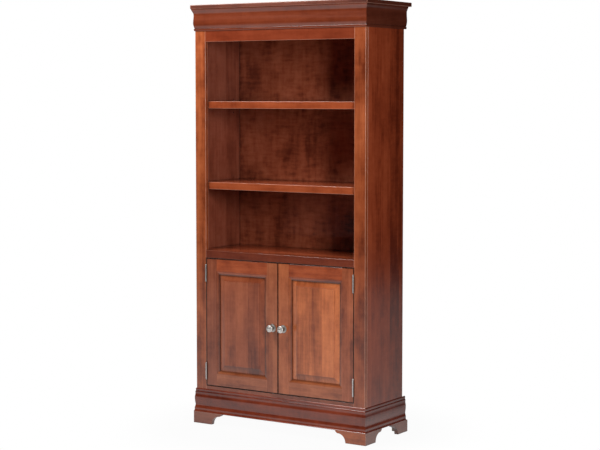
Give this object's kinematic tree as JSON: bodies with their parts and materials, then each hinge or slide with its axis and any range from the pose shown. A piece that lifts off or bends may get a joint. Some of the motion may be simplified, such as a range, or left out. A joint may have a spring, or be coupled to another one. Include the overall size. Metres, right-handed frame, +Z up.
{
  "type": "bookcase with cabinet doors",
  "caption": "Tall wooden bookcase: open adjustable shelves over a cupboard with raised-panel doors, under a moulded crown, on a moulded base with bracket feet.",
  "frame": {"origin": "on the floor, at the middle of the space that the whole object fills, knobs and cap board included", "axes": "+Z up, doors face -Y, +X to the right of someone facing the doors"},
  "size_m": [0.967, 0.411, 1.981],
  "materials": {
    "face_frame_wood": "red-brown cherry stain on maple, semi-gloss lacquer",
    "side_wood": "red-brown cherry stain on glued-up maple, semi-gloss lacquer",
    "crown_wood": "red-brown cherry stain on maple, semi-gloss lacquer",
    "cap_wood": "red-brown cherry stain on maple, semi-gloss lacquer",
    "base_wood": "red-brown cherry stain on maple, semi-gloss lacquer",
    "foot_wood": "red-brown cherry stain on maple, semi-gloss lacquer",
    "nosing_wood": "red-brown cherry stain on maple, semi-gloss lacquer",
    "shelf_wood": "red-brown cherry stain on maple veneer, semi-gloss lacquer",
    "back_plywood": "red-brown cherry stain on rotary-cut maple plywood, satin",
    "door_frame_wood": "red-brown cherry stain on maple, semi-gloss lacquer",
    "door_panel_wood": "red-brown cherry stain on glued-up maple boards, semi-gloss lacquer",
    "unseen_wood": "lightly stained maple, thin sealer only",
    "nickel": "satin nickel plate",
    "hardware_steel": "satin nickel plate on steel",
    "zinc_steel": "bright zinc plate on steel",
    "catch_plastic": "dark brown moulded plastic"
  },
  "bodies": {
    "case": {"back_panel": "back_plywood", "base_frame_back": "unseen_wood", "base_frame_front": "unseen_wood", "base_frame_left": "unseen_wood", "base_frame_right": "unseen_wood", "base_moulding_front": "base_wood", "base_moulding_left": "base_wood", "base_moulding_right": "base_wood", "bottom_rail": "face_frame_wood", "cap_board": "cap_wood", "case_hinge_leaves": "hardware_steel", "case_top": "shelf_wood", "crown_front": "crown_wood", "crown_left": "crown_wood", "crown_right": "crown_wood", "cupboard_floor": "shelf_wood", "cupboard_shelf": "shelf_wood", "cupboard_top": "shelf_wood", "foot_front_left_face": "foot_wood", "foot_front_left_side": "foot_wood", "foot_front_right_face": "foot_wood", "foot_front_right_side": "foot_wood", "foot_glue_blocks": "unseen_wood", "foot_rear_left_brace": "unseen_wood", "foot_rear_left_side": "foot_wood", "foot_rear_right_brace": "unseen_wood", "foot_rear_right_side": "foot_wood", "hinge_pins": "hardware_steel", "lower_shelf": "shelf_wood", "lower_shelf_nosing": "nosing_wood", "magnetic_catches": "catch_plastic", "middle_rail": "face_frame_wood", "shelf_pins": "hardware_steel", "side_left": "side_wood", "side_right": "side_wood", "stile_left": "face_frame_wood", "stile_right": "face_frame_wood", "top_rail": "face_frame_wood", "upper_shelf": "shelf_wood", "upper_shelf_nosing": "nosing_wood"},
    "door_left": {"door_left_bottom_rail": "door_frame_wood", "door_left_hinge_leaves": "hardware_steel", "door_left_hinge_stile": "door_frame_wood", "door_left_knob": "nickel", "door_left_knob_screw": "zinc_steel", "door_left_lock_stile": "door_frame_wood", "door_left_panel": "door_panel_wood", "door_left_rosette": "nickel", "door_left_strike": "zinc_steel", "door_left_top_rail": "door_frame_wood"},
    "door_right": {"door_right_bottom_rail": "door_frame_wood", "door_right_hinge_leaves": "hardware_steel", "door_right_hinge_stile": "door_frame_wood", "door_right_knob": "nickel", "door_right_knob_screw": "zinc_steel", "door_right_lock_stile": "door_frame_wood", "door_right_panel": "door_panel_wood", "door_right_rosette": "nickel", "door_right_strike": "zinc_steel", "door_right_top_rail": "door_frame_wood"}
  },
  "joints": [
    {"name": "door_left_hinge", "type": "hinge", "parent": "case", "child": "door_left", "pos_m": [-0.4068, -0.1775, 0.48825], "axis": [0, 0, -1], "range_deg": [0, 175]},
    {"name": "door_right_hinge", "type": "hinge", "parent": "case", "child": "door_right", "pos_m": [0.4068, -0.1775, 0.48825], "axis": [0, 0, 1], "range_deg": [0, 175]}
  ]
}
